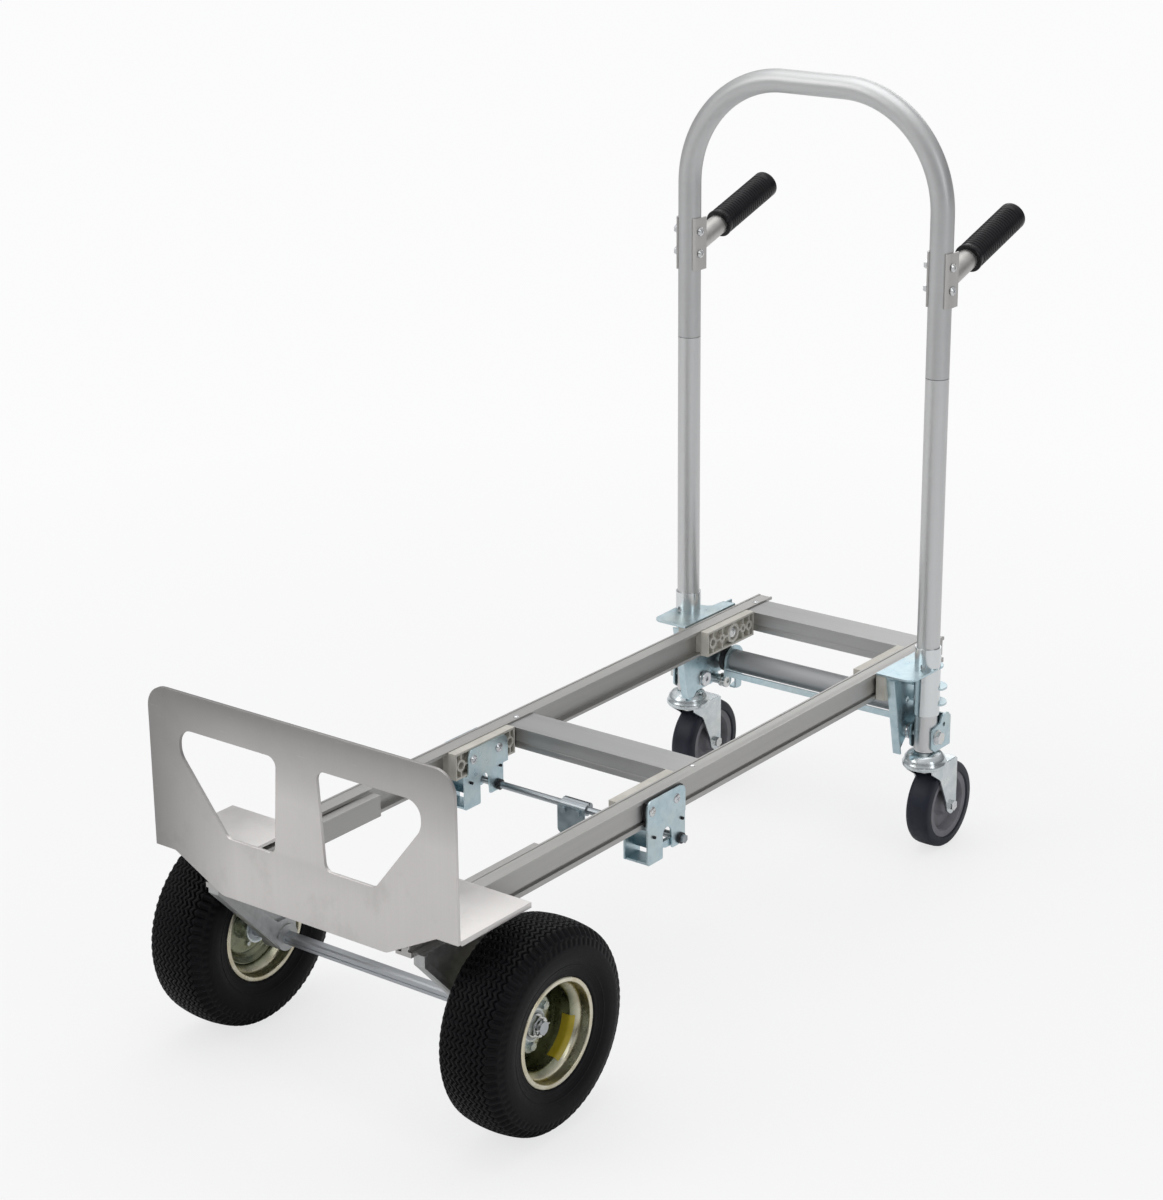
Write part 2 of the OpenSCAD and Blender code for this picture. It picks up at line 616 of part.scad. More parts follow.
// saddle plates on both sides of each leg: flat behind the screws, curled onto the tube in front
module grip_clamps() color([0.70, 0.69, 0.67]) centred() both()
  for (s = [-1, 1]) translate([handle_x, 0, 0]) side(s) difference() {
    inner_r = tube_r + 0.06;
    outer_r = tube_r + 2.5;
    slab_z(clamp_z[0], clamp_z[1]) polygon(concat(
      [[inner_r, leg_y + 14.5], [outer_r, leg_y + 14.5], [outer_r, leg_y]],
      arc([0, leg_y], outer_r, 0, -42, 6),
      arc([0, leg_y], inner_r, -42, 0, 6)));
    for (z = clamp_screw_z) rod_x(10, 30, [leg_y, z], screw_hole_r);
  }
// all heads face +X
module clamp_screws() color([0.74, 0.75, 0.77]) centred()
  for (x = [-handle_x, handle_x], z = clamp_screw_z) translate([x, 0, 0]) {
    at = [leg_y, z];
    rod_x(-24.5, 19, at, screw_r);
    difference() {
      turned_x(at, [[18.4, 0], [18.4, 6.4], [19.6, 6.1], [21.2, 4.4], [21.9, 0]]);
      slots_x(21.6, at, [30, 120], [1.8, 1.1, 6.4]);
    }
    hex_x(-23, -18.4, at, 6.2);
  }
// Z of the children runs from the leg out along the grip
module grip_axis(s) translate([s*handle_x, leg_y, grip_z]) rotate([grip_tilt - 90, 0, 0]) children();
module grip_stubs() color([0.72, 0.71, 0.70]) centred() difference() {
  for (s = [-1, 1]) grip_axis(s) difference() {
    cylinder(h = grip_end - 4, r = stub_r);
    translate([0, 0, -1]) cylinder(h = grip_end, r = stub_r - 2);
  }
  // the root is coped to the leg and cleared for the screws
  for (s = [-1, 1]) {
    translate([s*handle_x, leg_y, 760]) cylinder(h = 110, r = tube_r + 0.02);
    for (z = clamp_screw_z) rod_x(s*handle_x - 24, s*handle_x + 24, [leg_y, z], 3.6);
  }
  box([-230, leg_y - 40, 700], [230, leg_y, 900]);
}
// outline is (radius, distance from the leg): collar, twenty ribs, then the end with its small hole
module grips() color([0.05, 0.05, 0.06]) centred() for (s = [-1, 1]) grip_axis(s) {
  sleeve_r = stub_r + 0.02;
  root_r = grip_r - 0.7;
  edge_z = grip_end - grip_edge_r;
  rotate_extrude($fn = 64) polygon(concat(
    [[sleeve_r, 73], [19.4, 73], [20, 74], [20, 76.6], [19.3, 77.8], [root_r, 79.2]],
    [for (i = [0:19])
      let (z = 84 + i*5.2)
      each [[root_r, z], [grip_r, z + 0.5], [grip_r, z + 2.4], [root_r, z + 2.9]]],
    [[grip_r - 0.2, edge_z - 8], [grip_r, edge_z - 6]],
    arc([grip_r - grip_edge_r, edge_z], grip_edge_r, 0, 90, 6),
    [[4.5, grip_end], [4.5, grip_end - 3.9], [sleeve_r, grip_end - 3.9]]));
}
// two side plates joined by a plate behind the leg
module stud_brackets() color([0.66, 0.74, 0.77]) centred() both() difference() {
  union() {
    slab_x(stud_out - plate_t, stud_out) polygon(rounded([
      [898, 162], [905, 156.6], [945, 156.6], [945, 200], [939, 206], [924, 206], [919, 196], [898, 191]],
      [4, 4, 0, 0, 4, 4, 3, 5], 4));
    slab_x(stud_in, stud_in + plate_t) polygon(rounded([
      [898, 162], [905, 156.6], [961, 156.6], [961, 182], [946, 206], [924, 206], [919, 196], [898, 191]],
      [4, 4, 6, 8, 6, 4, 3, 5], 4));
    box([183, 943.5, 176], [stud_out, 946, 200]);
    box([191, 943.5, 156.6], [stud_out, 946, 178]);
  }
  stud1_hole();
  rod_x(170, 190, stud2_at, stud_hole_r);
  rod_x(210, 225, [928, 191], 3.4);
}
// stepped studs with a hex socket in the inner end and a nut on the outer end
module latch_studs() color([0.72, 0.74, 0.76]) centred() both() {
  rods_x(stud1_at, [
    [stud_in, stud_out, stud_r], [171.4, 176, 8], [176, 179, 11],
    [179, stud_in, 8], [stud_out, 220, 10.6]]);
  difference() {
    turned_x(stud1_at, [[166.8, 0], [166.8, 10.2], [167.6, 11], [171.5, 11], [171.5, 0]]);
    hex_x(166, 169.8, stud1_at, 4);
  }
  hex_x(220, 226, stud1_at, 9.4);
  rods_x(stud2_at, [[182, 188, stud_r], [160.2, 164, 8], [164, 167, 10], [167, stud_in, 7.4]]);
  difference() {
    turned_x(stud2_at, [[156, 0], [156, 9.2], [156.8, 10], [160.4, 10], [160.4, 0]]);
    hex_x(155, 158.6, stud2_at, 3.8);
  }
  hex_x(184.6, 190, stud2_at, 8.4);
}

// ---- casters ----
module caster_stems() color([0.66, 0.68, 0.70]) centred() both() difference() {
  union() {
    leg_rod(122, 172, 6);
    leg_rod(155.6, 157, 15.6);
    leg_rod(156.9, 184.9, plug_r);
    leg_rod(122.5, 129.5, 9, $fn = 6);
  }
  stud1_hole();
}
module caster_fork(s) side(s) color([0.70, 0.76, 0.78]) centred() translate([handle_x, 0, 0]) difference() {
  axle_y = caster_at[0];
  union() {
    // domed raceway
    translate([0, leg_y, 0]) rotate_extrude($fn = 64) polygon([
      [0, 132], [29.4, 132], [29.4, 133.2], [31, 134.4], [31, 138], [29.4, 141],
      [28, 145.6], [23.6, 151], [17.5, 154], [15, 155.2], [0, 155.2]]);
    // top plate
    slab_z(129.8, 132.4) polygon(rounded([
      [-20, leg_y - 10], [20, leg_y - 10], [20, axle_y + 11], [-20, axle_y + 11]], [0, 0, 3, 3]));
    // two cheeks
    for (x = [-21.4, 18.9]) slab_x(x, x + plate_t) polygon(rounded([
      [leg_y - 14, 131.8], [leg_y - 12, 124], [axle_y - 33, 110], [axle_y - 15, 72],
      [axle_y - 11, 56], [axle_y + 1, 47], [axle_y + 12, 57], [axle_y + 12, 131.8]],
      [0, 4, 12, 8, 6, 8, 6, 3], 4));
  }
  translate([0, leg_y, 100]) cylinder(h = 60, r = 6.06);
  rod_x(-30, 30, caster_at, 5);
}
module caster_fork_left() caster_fork(1);
module caster_fork_right() caster_fork(-1);

core_r = caster_r - 15;             // where the tread meets the core
module caster_tyre(s) side(s) color([0.13, 0.14, 0.17]) centred() {
  half_w = caster_w/2;
  turned_x(caster_at, symmetric([
    [0, caster_r], [half_w - 8, caster_r - 0.2], [half_w - 3.6, caster_r - 1.1],
    [half_w - 1.2, caster_r - 3], [half_w, caster_r - 6], [half_w, caster_r - 13],
    [half_w - 2, core_r]]), handle_x);
}
module caster_tyre_left() caster_tyre(1);
module caster_tyre_right() caster_tyre(-1);

module caster_core(s) side(s) color([0.45, 0.44, 0.46]) centred() {
  half_w = caster_w/2 - 2;
  turned_x(caster_at, symmetric([
    [half_w, core_r], [half_w - 0.5, 39], [half_w - 2.5, 37.5], [5, 34], [5, 20],
    [8, 17], [15, 14.5], [18.6, 11], [18.6, 5.06]]), handle_x);
}
module caster_core_left() caster_core(1);
module caster_core_right() caster_core(-1);

module caster_bolt(s) side(s) color([0.72, 0.73, 0.75]) centred() translate([handle_x, 0, 0]) {
  rod_x(-27, 25, caster_at, caster_bolt_r);
  hex_x(21.4, 26.4, caster_at, 7.6);
  hex_x(-27, -21.4, caster_at, 7.6);
}
module caster_bolt_left() caster_bolt(1);
module caster_bolt_right() caster_bolt(-1);

toe_plate();
rail_left();
rail_right();
rail_reinforcements();
mid_cross_member();
rear_cross_member();
rail_rivets();
axle();
axle_brackets();
axle_nuts();
mid_blocks();
mid_spacers();
rear_blocks();
latch_bracket_left();
latch_bracket_right();
latch_screws();
latch_pins();
latch_leaves();
shaft_bushes();
pivot_bolts();
release_shaft();
release_hooks();
release_clamp();
release_paddle();
tyre_left();
tyre_right();
rim_left();
rim_right();
hub_left();
hub_right();
bearings_left();
bearings_right();
valve_left();
valve_right();
pivot_bracket_left();
pivot_bracket_right();
sleeves();
cross_tube();
cross_tube_rings();
cross_tube_bolts();
pivot_spacers();
lock_bar();
handle_loop();
handle_tubes();
splice_plugs();
grip_clamps();
clamp_screws();
grip_stubs();
grips();
stud_brackets();
latch_studs();
caster_stems();
caster_fork_left();
caster_fork_right();
caster_tyre_left();
caster_tyre_right();
caster_core_left();
caster_core_right();
caster_bolt_left();
caster_bolt_right();
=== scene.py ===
"""A hand truck with a toe plate, two tyred wheels, two casters and a handle loop.

The floor is z = 0 and +Z is up.
"""
import math
import bpy
import bmesh
import numpy as np
from mathutils import Vector, Matrix


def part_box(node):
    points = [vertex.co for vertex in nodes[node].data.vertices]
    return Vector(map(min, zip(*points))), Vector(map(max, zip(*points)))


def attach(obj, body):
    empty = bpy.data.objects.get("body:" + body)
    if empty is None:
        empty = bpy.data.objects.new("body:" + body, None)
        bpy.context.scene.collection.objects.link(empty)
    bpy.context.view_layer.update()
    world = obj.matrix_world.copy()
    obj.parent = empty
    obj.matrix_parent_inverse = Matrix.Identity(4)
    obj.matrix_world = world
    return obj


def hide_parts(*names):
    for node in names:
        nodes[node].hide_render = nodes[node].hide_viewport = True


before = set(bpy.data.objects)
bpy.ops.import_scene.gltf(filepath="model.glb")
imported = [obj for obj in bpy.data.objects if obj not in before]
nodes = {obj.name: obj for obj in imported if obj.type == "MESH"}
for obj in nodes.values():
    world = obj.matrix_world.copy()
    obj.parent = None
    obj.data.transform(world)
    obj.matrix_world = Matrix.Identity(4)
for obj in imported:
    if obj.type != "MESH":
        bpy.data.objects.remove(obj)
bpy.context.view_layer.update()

MM = 1000                             # millimetres in a metre
SIDES = (("left", 1), ("right", -1))  # name, direction along X
axle_low, axle_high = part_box("axle")
AXLE_Y = (axle_low.y + axle_high.y) / 2
AXLE_Z = 0.127
BACKDROP = (0.97, 0.97, 0.973, 1)


# ---------------------------------------------------------------- shader helpers
class Shader:
    """Builds nodes in one node tree; a node input takes a value or a socket."""

    def __init__(self, tree):
        self.tree = tree
        self.bsdf = tree.nodes.get("Principled BSDF")

    def feed(self, socket, value):
        if isinstance(value, bpy.types.NodeSocket):
            self.tree.links.new(value, socket)
        else:
            socket.default_value = value

    def node(self, kind, inputs=None, **settings):
        made = self.tree.nodes.new(kind)
        for key, value in settings.items():
            setattr(made, key, value)
        for key, value in (inputs or {}).items():
            self.feed(made.inputs[key], value)
        return made

    def axes(self, kind="Object"):
        """X, Y and Z sockets of a texture coordinate."""
        coord = self.node("ShaderNodeTexCoord")
        return self.node("ShaderNodeSeparateXYZ", {0: coord.outputs[kind]}).outputs

    def mapped(self, scale=(1, 1, 1), rotation=(0, 0, 0)):
        """Object coordinates, scaled and turned."""
        coord = self.node("ShaderNodeTexCoord")
        inputs = {"Scale": scale, "Rotation": rotation, "Vector": coord.outputs["Object"]}
        return self.node("ShaderNodeMapping", inputs).outputs["Vector"]

    def noise(self, scale, detail, vector=None, roughness=0.55):
        made = self.node("ShaderNodeTexNoise",
                         {"Scale": scale, "Detail": detail, "Roughness": roughness})
        self.feed(made.inputs["Vector"], vector or self.mapped())
        return made.outputs["Fac"]

    def remap(self, value, span=(0.0, 1.0), to=(0, 1)):
        """Maps the range span onto the range to, clamped."""
        inputs = {"From Min": span[0], "From Max": span[1],
                  "To Min": to[0], "To Max": to[1], "Value": value}
        return self.node("ShaderNodeMapRange", inputs).outputs["Result"]

    def mix(self, amount, first, second, mode="MIX"):
        made = self.node("ShaderNodeMix", {0: amount}, data_type="RGBA", blend_type=mode)
        for index, color in ((6, first), (7, second)):
            self.feed(made.inputs[index], (*color, 1) if isinstance(color, tuple) else color)
        return made.outputs[2]

    def math(self, operation, a, b=0.0):
        return self.node("ShaderNodeMath", {0: a, 1: b}, operation=operation).outputs[0]

    def toward(self, value, target, amount):
        """Moves a value towards a target by an amount from 0 to 1."""
        gap = self.math("SUBTRACT", target, value)
        return self.math("ADD", value, self.math("MULTIPLY", amount, gap))

    def cloudy(self, clouds, dark, light):
        return self.mix(self.remap(clouds, span=(0.35, 0.65)), dark, light)

    def rough_by(self, value, rough):
        return self.remap(value, span=(0.3, 0.7), to=rough)

    def surface(self, color, roughness):
        self.feed(self.bsdf.inputs["Base Color"], color)
        self.feed(self.bsdf.inputs["Roughness"], roughness)

    def relief(self, height, strength, distance, edge=0.0):
        """Fine surface relief; edge rounds the normals at sharp corners."""
        bump = self.node("ShaderNodeBump",
                         {"Strength": strength, "Distance": distance, "Height": height})
        if edge:
            bevel = self.node("ShaderNodeBevel", {"Radius": edge}, samples=4)
            self.feed(bump.inputs["Normal"], bevel.outputs["Normal"])
        self.feed(self.bsdf.inputs["Normal"], bump.outputs["Normal"])


def new_material(name, color, metallic, roughness, **inputs):
    """A material and its Shader; extra inputs are named with underscores for spaces."""
    made = bpy.data.materials.new(name)
    made.use_nodes = True
    made.diffuse_color = (*color, 1)
    shader = Shader(made.node_tree)
    shader.surface((*color, 1), roughness)
    shader.bsdf.inputs["Metallic"].default_value = metallic
    for key, value in inputs.items():
        shader.bsdf.inputs[key.replace("_", " ")].default_value = value
    return made, shader


# ---------------------------------------------------------------- materials
def toe_stains_and_painted_light(s, color):
    """Stains, scratches and uneven brightness of the toe plate; the brightness is painted shade
    and painted light.
    """
    stain_top = 0.40
    at = s.axes()
    low = s.remap(at["Z"], span=(stain_top - 0.11, stain_top), to=(1, 0.30))
    spot_coord = s.mapped(scale=(1, 1, 0.8), rotation=(0.3, 0.5, 0.2))
    spots = s.remap(s.noise(scale=17, detail=6, vector=spot_coord, roughness=0.72),
                    span=(0.54, 0.74))
    stains = s.math("MULTIPLY", s.math("MULTIPLY", low, spots), 0.42)
    color = s.mix(stains, color, (0.40, 0.385, 0.37))
    # painted shade: darker towards the top edge and the -X edge
    below_top = s.remap(at["Z"], span=(0.385, 0.475), to=(1, 0))
    off_side = s.remap(at["X"], span=(-0.225, -0.10), to=(0.0, 1.0))
    painted_shade_by_x = s.remap(at["X"], span=(-0.2, 0.22), to=(0.56, 0.72))
    shade = s.toward(painted_shade_by_x, target=1.20, amount=s.math("MULTIPLY", below_top, off_side))
    # painted light: brighter on the +Y side of the plate's face, where the deck faces up
    deck = s.remap(at["Y"], span=(-0.612, -0.606))
    shade = s.toward(shade, target=1.38, amount=deck)
    color = s.mix(1.0, color, shade, mode="MULTIPLY")
    scratch_coord = s.mapped(scale=(26, 26, 420), rotation=(0.0, 0.75, 0.2))
    scratches = s.remap(s.noise(scale=1, detail=2, vector=scratch_coord), span=(0.72, 0.76))
    return s.mix(s.math("MULTIPLY", scratches, 0.22), color, (0.66, 0.65, 0.64))


def brushed(name, dark, light, along, rough, fine, edge,
            blotch=0.5, metal=1.0, bump=0.10, wear_and_painted_light=None):
    """Metal with drawn or rolled grain running along one axis."""
    made, s = new_material(name, dark, metal, rough[0])

    def streaks(across_scale, along_scale, detail):
        scale = [across_scale] * 3
        scale["xyz".index(along)] = along_scale
        return s.noise(scale=1.0, detail=detail, vector=s.mapped(scale))

    grain = streaks(fine, fine / 120, detail=2)
    bands = streaks(fine / 9, fine / 300, detail=3)
    clouds = s.noise(scale=9, detail=4)
    tone = s.math("ADD", s.math("MULTIPLY", grain, 0.30), s.math("MULTIPLY", bands, 0.45))
    tone = s.math("ADD", tone, s.math("MULTIPLY", clouds, 0.5 * blotch))
    color = s.mix(s.remap(tone, span=(0.32, 0.68)), dark, light)
    # the optional pass adds stains, scratches and painted shade and light to the colour
    if wear_and_painted_light:
        color = wear_and_painted_light(s, color)
    smudges = s.math("MULTIPLY", s.noise(scale=40, detail=4), 0.05)
    s.surface(color, s.math("ADD", s.rough_by(tone, rough), smudges))
    s.relief(grain, strength=bump, distance=0.0002, edge=edge)
    return made


def plated(name, dark, light, rough, edge, scale, tint):
    """Bright plating with faint cloudy colour."""
    made, s = new_material(name, dark, 1.0, rough[0])
    clouds = s.noise(scale=scale, detail=4)
    broad = s.noise(scale=scale / 5, detail=3)
    color = s.cloudy(clouds, dark, light)
    color = s.mix(s.remap(broad, span=(0.48, 0.72), to=(0, 0.5)), color, tint)
    specks = s.remap(s.noise(scale=scale * 2.4, detail=5, roughness=0.7),
                     span=(0.60, 0.75), to=(0, 0.35))
    s.surface(s.mix(specks, color, (0.25, 0.27, 0.28)), s.rough_by(clouds, rough))
    s.relief(s.noise(scale=900, detail=2), strength=0.06, distance=0.0002, edge=edge)
    return made


def plastic(name, dark, light, rough, scale, bump, grain, edge, **inputs):
    """Softly mottled plastic, rubber or paint."""
    made, s = new_material(name, dark, roughness=rough[0], **{"metallic": 0.0, **inputs})
    clouds = s.noise(scale=scale, detail=5)
    s.surface(s.cloudy(clouds, dark, light), s.rough_by(clouds, rough))
    s.relief(s.noise(scale=grain, detail=2), strength=bump, distance=0.0003, edge=edge)
    return made


def dusty_rubber():
    """Black tyre rubber with patches of dust."""
    made, s = new_material("tyre_rubber", (0.010, 0.010, 0.011), metallic=0.0, roughness=0.5,
                           Specular_IOR_Level=0.13)
    dust = s.remap(s.noise(scale=26, detail=6, roughness=0.65), span=(0.46, 0.74))
    fine = s.noise(scale=500, detail=3)
    color = s.mix(s.math("MULTIPLY", dust, 0.45),
                  (0.0026, 0.0026, 0.0036), (0.0085, 0.0085, 0.0100))
    s.surface(color, s.rough_by(fine, (0.40, 0.56)))
    s.relief(fine, strength=0.12, distance=0.0004)
    return made


def rim_gold():
    """Passivated rim: pale gold at the rolled lip; the deeper olive gold inside is painted
    shade.
    """
    made, s = new_material("rim_gold", (0.8, 0.7, 0.5), metallic=1.0, roughness=0.3)
    at = s.axes()
    dy = s.math("SUBTRACT", at["Y"], AXLE_Y)
    dz = s.math("SUBTRACT", at["Z"], AXLE_Z)
    squares = s.math("ADD", s.math("MULTIPLY", dy, dy), s.math("MULTIPLY", dz, dz))
    # painted shade: the colour turns darker olive gold within the barrel's inner radius
    inner = s.remap(s.math("SQRT", squares), span=(0.052, 0.0605), to=(1, 0))
    clouds = s.noise(scale=45, detail=4)
    lip = s.cloudy(clouds, dark=(0.60, 0.55, 0.40), light=(0.76, 0.73, 0.60))
    shaded_inside = s.cloudy(clouds, dark=(0.17, 0.185, 0.13), light=(0.29, 0.30, 0.205))
    s.surface(s.mix(inner, lip, shaded_inside), s.rough_by(clouds, (0.20, 0.34)))
    s.relief(s.noise(scale=300, detail=2), strength=0.05, distance=0.0003, edge=0.0006)
    return made


# the toe plate carries stains, scratches and painted shade and light in its colour
TOE = brushed("toe_aluminium_brushed", dark=(0.535, 0.52, 0.505), light=(0.575, 0.56, 0.545),
              along="z", rough=(0.36, 0.46), fine=520, edge=0.0008, blotch=0.8, wear_and_painted_light=toe_stains_and_painted_light)
RAIL = brushed("rail_aluminium_extruded", dark=(0.43, 0.425, 0.41), light=(0.51, 0.505, 0.49),
               along="y", rough=(0.38, 0.50), fine=700, edge=0.0004)
CROSS = brushed("cross_member_extruded", dark=(0.40, 0.40, 0.40), light=(0.475, 0.475, 0.47),
                along="x", rough=(0.40, 0.52), fine=700, edge=0.0006)
ARCH = brushed("handle_arch_drawn", dark=(0.55, 0.555, 0.555), light=(0.595, 0.60, 0.60),
               along="x", rough=(0.40, 0.44), fine=160, edge=0.0, metal=0.95, bump=0.0)
TUBE = brushed("handle_tube_drawn", dark=(0.60, 0.605, 0.605), light=(0.66, 0.665, 0.665),
               along="z", rough=(0.29, 0.38), fine=300, edge=0.0, metal=0.95, bump=0.015)
CLAMP = brushed("clamp_extruded", dark=(0.52, 0.51, 0.49), light=(0.62, 0.61, 0.59),
                along="z", rough=(0.36, 0.48), fine=700, edge=0.0005)
CAST = plated("bracket_cast", dark=(0.40, 0.41, 0.41), light=(0.52, 0.53, 0.53),
              rough=(0.42, 0.58), edge=0.0010, scale=110, tint=(0.48, 0.48, 0.46))
ZINC = plated("zinc_plate_blue", dark=(0.45, 0.585, 0.64), light=(0.58, 0.705, 0.745),
              rough=(0.26, 0.40), edge=0.0005, scale=70, tint=(0.62, 0.66, 0.62))
ZINC_DARK = plated("zinc_plate_shade", dark=(0.24, 0.30, 0.33), light=(0.34, 0.41, 0.44),
                   rough=(0.30, 0.44), edge=0.0005, scale=70, tint=(0.38, 0.42, 0.42))
FORK = plated("zinc_fork", dark=(0.56, 0.62, 0.64), light=(0.72, 0.76, 0.77),
              rough=(0.18, 0.30), edge=0.0008, scale=60, tint=(0.76, 0.75, 0.66))
HARDWARE = plated("zinc_hardware", dark=(0.58, 0.60, 0.62), light=(0.74, 0.75, 0.76),
                  rough=(0.16, 0.28), edge=0.0004, scale=160, tint=(0.72, 0.71, 0.62))
HUB = plated("zinc_hub", dark=(0.50, 0.57, 0.59), light=(0.70, 0.74, 0.74),
             rough=(0.20, 0.32), edge=0.0006, scale=90, tint=(0.64, 0.65, 0.54))
SLEEVE = brushed("sleeve_bright", dark=(0.66, 0.69, 0.70), light=(0.78, 0.80, 0.80),
                 along="z", rough=(0.13, 0.24), fine=500, edge=0.0006)
STEEL = brushed("steel_drawn", dark=(0.30, 0.33, 0.35), light=(0.42, 0.45, 0.47),
                along="x", rough=(0.26, 0.40), fine=600, edge=0.0005)
SATIN = brushed("cross_tube_satin", dark=(0.36, 0.37, 0.38), light=(0.44, 0.45, 0.46),
                along="x", rough=(0.52, 0.62), fine=600, edge=0.0005, metal=0.6)
AXLE = brushed("axle_bar_steel", dark=(0.40, 0.42, 0.44), light=(0.54, 0.56, 0.58),
               along="x", rough=(0.24, 0.36), fine=600, edge=0.0005)
NYLON = plastic("nylon_beige", dark=(0.50, 0.485, 0.43), light=(0.58, 0.565, 0.51),
                rough=(0.42, 0.55), scale=60, bump=0.10, grain=1500, edge=0.0007)
BLACK = plastic("black_plastic", dark=(0.012, 0.012, 0.013), light=(0.022, 0.022, 0.024),
                rough=(0.30, 0.42), scale=60, bump=0.08, grain=1800, edge=0.0006)
OXIDE = plastic("black_oxide", dark=(0.02, 0.02, 0.022), light=(0.045, 0.045, 0.05),
                rough=(0.35, 0.5), scale=200, bump=0.05, grain=2000, edge=0.0004,
                metallic=0.6)
GRIP = plastic("grip_vinyl", dark=(0.005, 0.005, 0.007), light=(0.010, 0.010, 0.012),
               rough=(0.22, 0.32), scale=40, bump=0.05, grain=900, edge=0.0,
               Specular_IOR_Level=0.22, Coat_Weight=0.06)
TREAD = plastic("caster_tread", dark=(0.010, 0.012, 0.021), light=(0.017, 0.020, 0.032),
                rough=(0.38, 0.50), scale=40, bump=0.10, grain=1200, edge=0.0,
                Specular_IOR_Level=0.28)
CORE = plastic("caster_core_grey", dark=(0.155, 0.153, 0.168), light=(0.205, 0.203, 0.220),
               rough=(0.40, 0.55), scale=50, bump=0.10, grain=1400, edge=0.0005,
               Specular_IOR_Level=0.35)
LABEL = plastic("label_yellow", dark=(0.40, 0.31, 0.010), light=(0.47, 0.37, 0.02),
                rough=(0.30, 0.42), scale=90, bump=0.04, grain=900, edge=0.0)
RUBBER = dusty_rubber()
GOLD = rim_gold()

# material, the CAD pieces that wear it
PIECES = (
    (TOE, "toe_plate"),
    (RAIL, "rail_left rail_right rail_reinforcements"),
    (CROSS, "mid_cross_member rear_cross_member"),
    (ARCH, "handle_loop"),
    (TUBE, "handle_tubes"),
    (CLAMP, "grip_clamps grip_stubs"),
    (CAST, "axle_brackets"),
    (ZINC, "latch_bracket_left latch_bracket_right latch_leaves release_hooks lock_bar "
           "pivot_bracket_left pivot_bracket_right stud_brackets"),
    (ZINC_DARK, "release_paddle"),
    (FORK, "caster_fork_left caster_fork_right"),
    (HARDWARE, "rail_rivets axle_nuts latch_screws pivot_bolts cross_tube_bolts clamp_screws "
               "latch_studs caster_stems caster_bolt_left caster_bolt_right"),
    (HUB, "hub_left hub_right"),
    (SLEEVE, "sleeves"),
    (STEEL, "release_shaft release_clamp bearings_left bearings_right splice_plugs"),
    (SATIN, "cross_tube"),
    (AXLE, "axle"),
    (NYLON, "mid_blocks rear_blocks pivot_spacers"),
    # black on mid_spacers is painted shade in the gap between the bracket plates and the rail
    # webs; the other pieces in this row are black parts
    (BLACK, "mid_spacers shaft_bushes valve_left valve_right cross_tube_rings"),
    (OXIDE, "latch_pins"),
    (GRIP, "grips"),
    (TREAD, "caster_tyre_left caster_tyre_right"),
    (CORE, "caster_core_left caster_core_right"),
    (RUBBER, "tyre_left tyre_right"),
    (GOLD, "rim_left rim_right"),
)
# piece, width of its bevelled edges in mm
BEVELS = {"toe_plate": 0.5, "mid_cross_member": 0.7, "rear_cross_member": 0.7}


def dress_pieces():
    """Gives every CAD piece its material, smooth faces and crisp edges."""
    material_of = {piece: made for made, names in PIECES for piece in names.split()}
    for piece, obj in nodes.items():
        mesh = obj.data
        mesh.materials.clear()
        mesh.materials.append(material_of[piece])
        for polygon in mesh.polygons:
            polygon.material_index = 0
        mesh.polygons.foreach_set("use_smooth", [True] * len(mesh.polygons))
        weld = obj.modifiers.new("weld", "WELD")
        weld.merge_threshold = 0.000004
        split = obj.modifiers.new("sharp", "EDGE_SPLIT")
        split.split_angle = math.radians(28)
    for piece, width in BEVELS.items():
        modifiers = nodes[piece].modifiers
        bevel = modifiers.new("edge", "BEVEL")
        bevel.width = width / MM
        bevel.segments = 2
        bevel.limit_method = "ANGLE"
        bevel.angle_limit = math.radians(50)
        bevel.use_clamp_overlap = True
        # the bevel goes ahead of the edge split
        modifiers.move(modifiers.find("edge"), 1)


# ---------------------------------------------------------------- mesh helpers
def add_object(name, data):
    obj = bpy.data.objects.new(name, data)
    bpy.context.scene.collection.objects.link(obj)
    return obj


def new_mesh(name, verts, faces, material, sharp=None):
    """A smooth mesh object; edges steeper than sharp degrees stay crisp."""
    mesh = bpy.data.meshes.new(name)
    mesh.from_pydata([tuple(v) for v in verts], [], [tuple(f) for f in faces])
    mesh.validate()
    bm = bmesh.new()
    bm.from_mesh(mesh)
    bmesh.ops.recalc_face_normals(bm, faces=bm.faces)
    bm.to_mesh(mesh)
    bm.free()
    mesh.polygons.foreach_set("use_smooth", [True] * len(mesh.polygons))
    if sharp:
        mesh.set_sharp_from_angle(angle=math.radians(sharp))
    mesh.materials.append(material)
    return add_object(name, mesh)


def spline(points, steps):
    """Catmull-Rom curve through the points."""
    p = np.array(points, float)
    curve = []
    for i in range(len(p) - 1):
        before, start, end, after = p[max(i - 1, 0)], p[i], p[i + 1], p[min(i + 2, len(p) - 1)]
        for step in range(steps):
            t = step / steps
            curve.append(0.5 * ((2 * start) + (end - before) * t
                                + (2 * before - 5 * start + 4 * end - after) * t * t
                                + (3 * start - before - 3 * end + after) * t ** 3))
    curve.append(p[-1])
    return np.array(curve)


